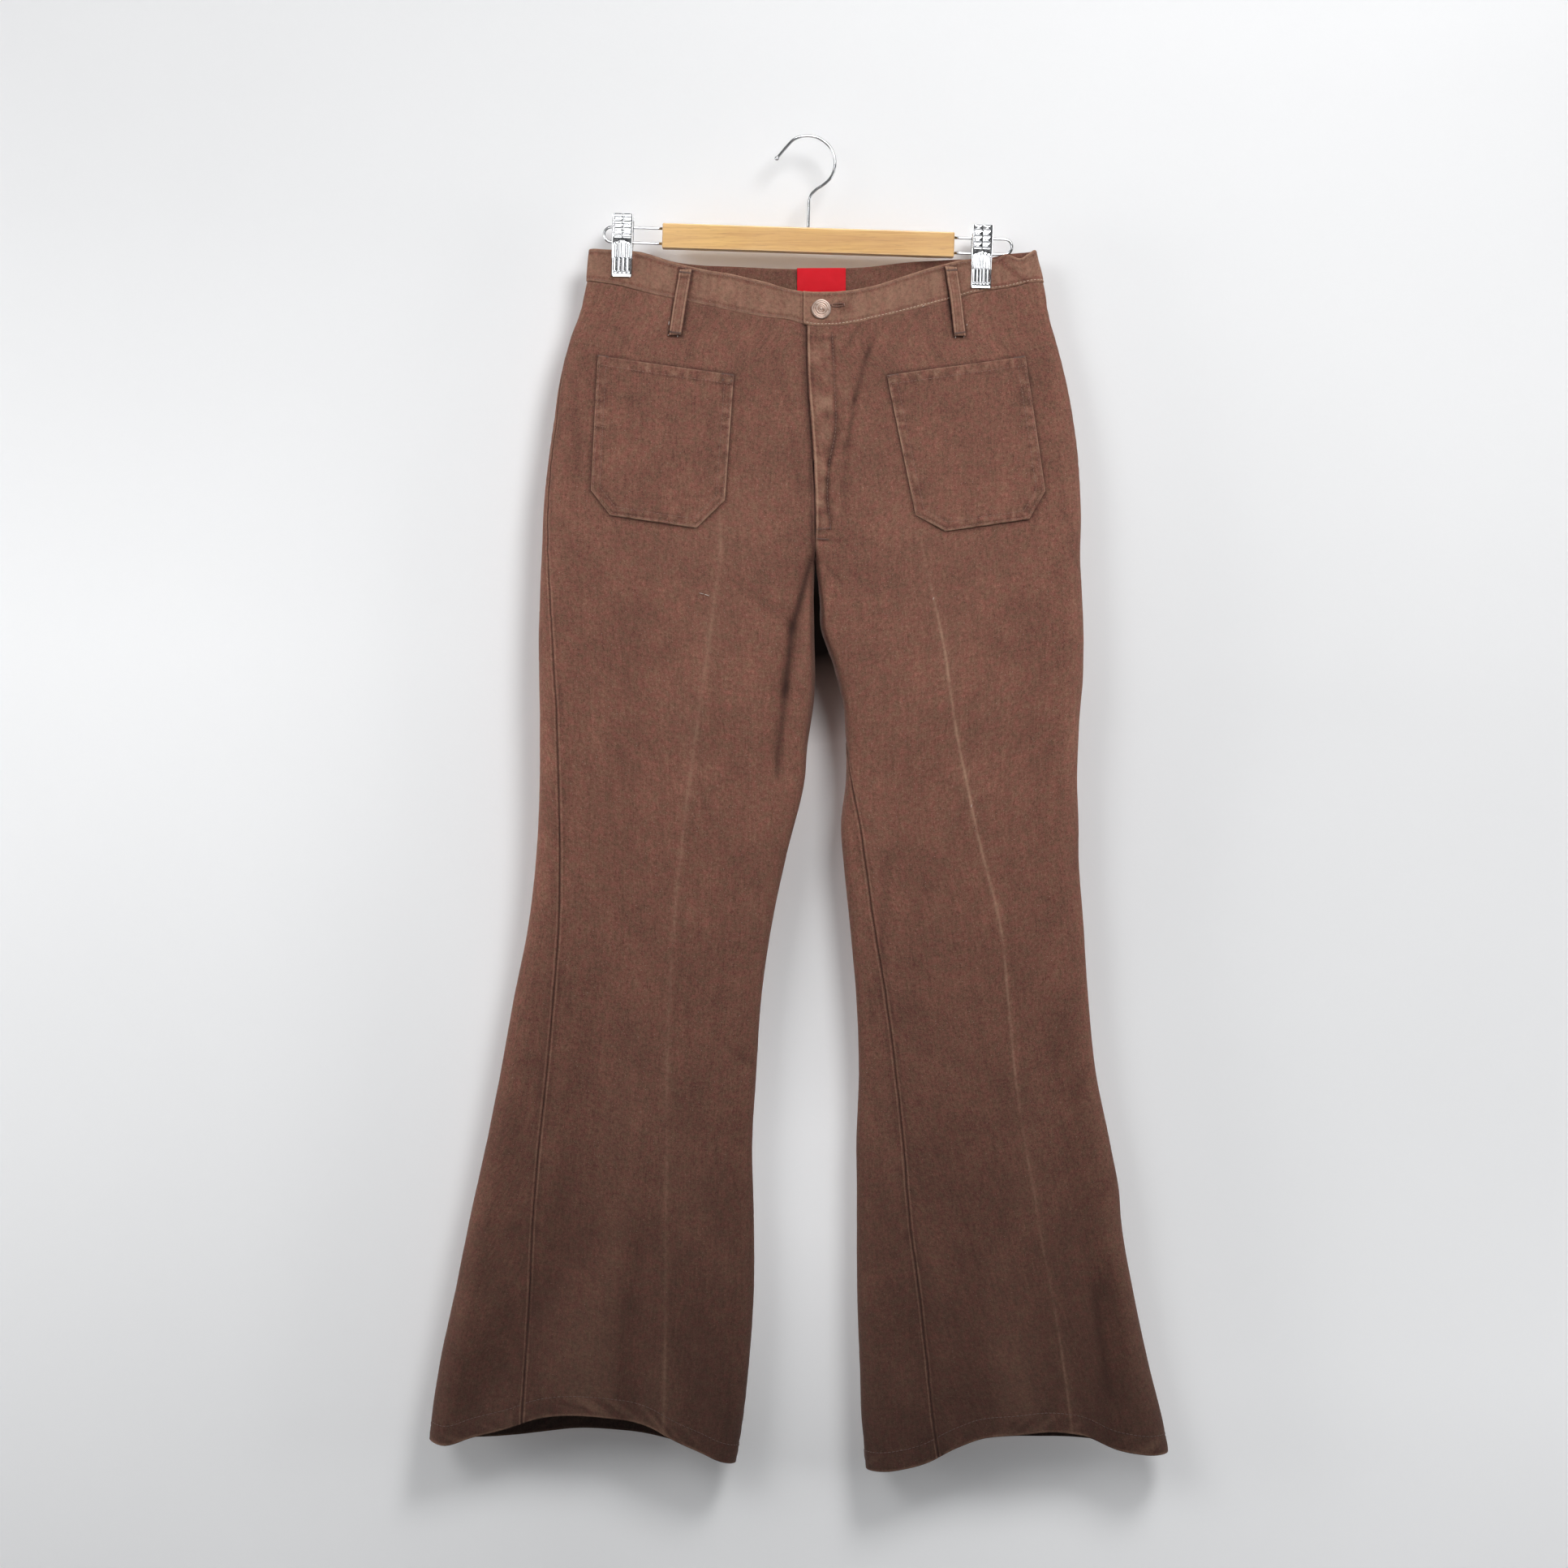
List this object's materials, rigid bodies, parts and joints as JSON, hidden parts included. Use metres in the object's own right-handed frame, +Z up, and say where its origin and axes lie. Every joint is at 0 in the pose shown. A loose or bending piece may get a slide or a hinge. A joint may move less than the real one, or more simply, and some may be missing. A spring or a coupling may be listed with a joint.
{
  "type": "flared trousers on a clip hanger",
  "caption": "Brown denim flared trousers with front patch pockets and a button waistband, clipped by the waist to a wooden bar hanger with a wire hook.",
  "frame": {"origin": "inside top of the hanger's hook, where what it hangs from bears on the wire", "axes": "+Z up, the front of the trousers faces -Y, +X to the right as seen from the front"},
  "size_m": [0.6501, 0.0478, 1.1745],
  "materials": {
    "denim": "matte heathered brown denim",
    "button_metal": "worn satin metal",
    "label": "plain red woven label",
    "bar_wood": "satin lacquered pale wood",
    "chrome": "polished"
  },
  "bodies": {
    "root": {"front_left": "denim", "front_right": "denim", "back_left": "denim", "back_right": "denim", "waistband": "denim", "pocket_left": "denim", "pocket_right": "denim", "belt_loop_front_left": "denim", "belt_loop_front_right": "denim", "belt_loop_back_left": "denim", "belt_loop_back_centre": "denim", "belt_loop_back_right": "denim", "shank_button": "button_metal", "waist_label": "label", "hanger_bar": "bar_wood", "hanger_hook": "chrome", "hanger_rail_left": "chrome", "hanger_rail_right": "chrome", "clip_left_jaw_front": "chrome", "clip_left_jaw_back": "chrome", "clip_left_spring": "chrome", "clip_right_jaw_front": "chrome", "clip_right_jaw_back": "chrome", "clip_right_spring": "chrome"}
  },
  "joints": []
}
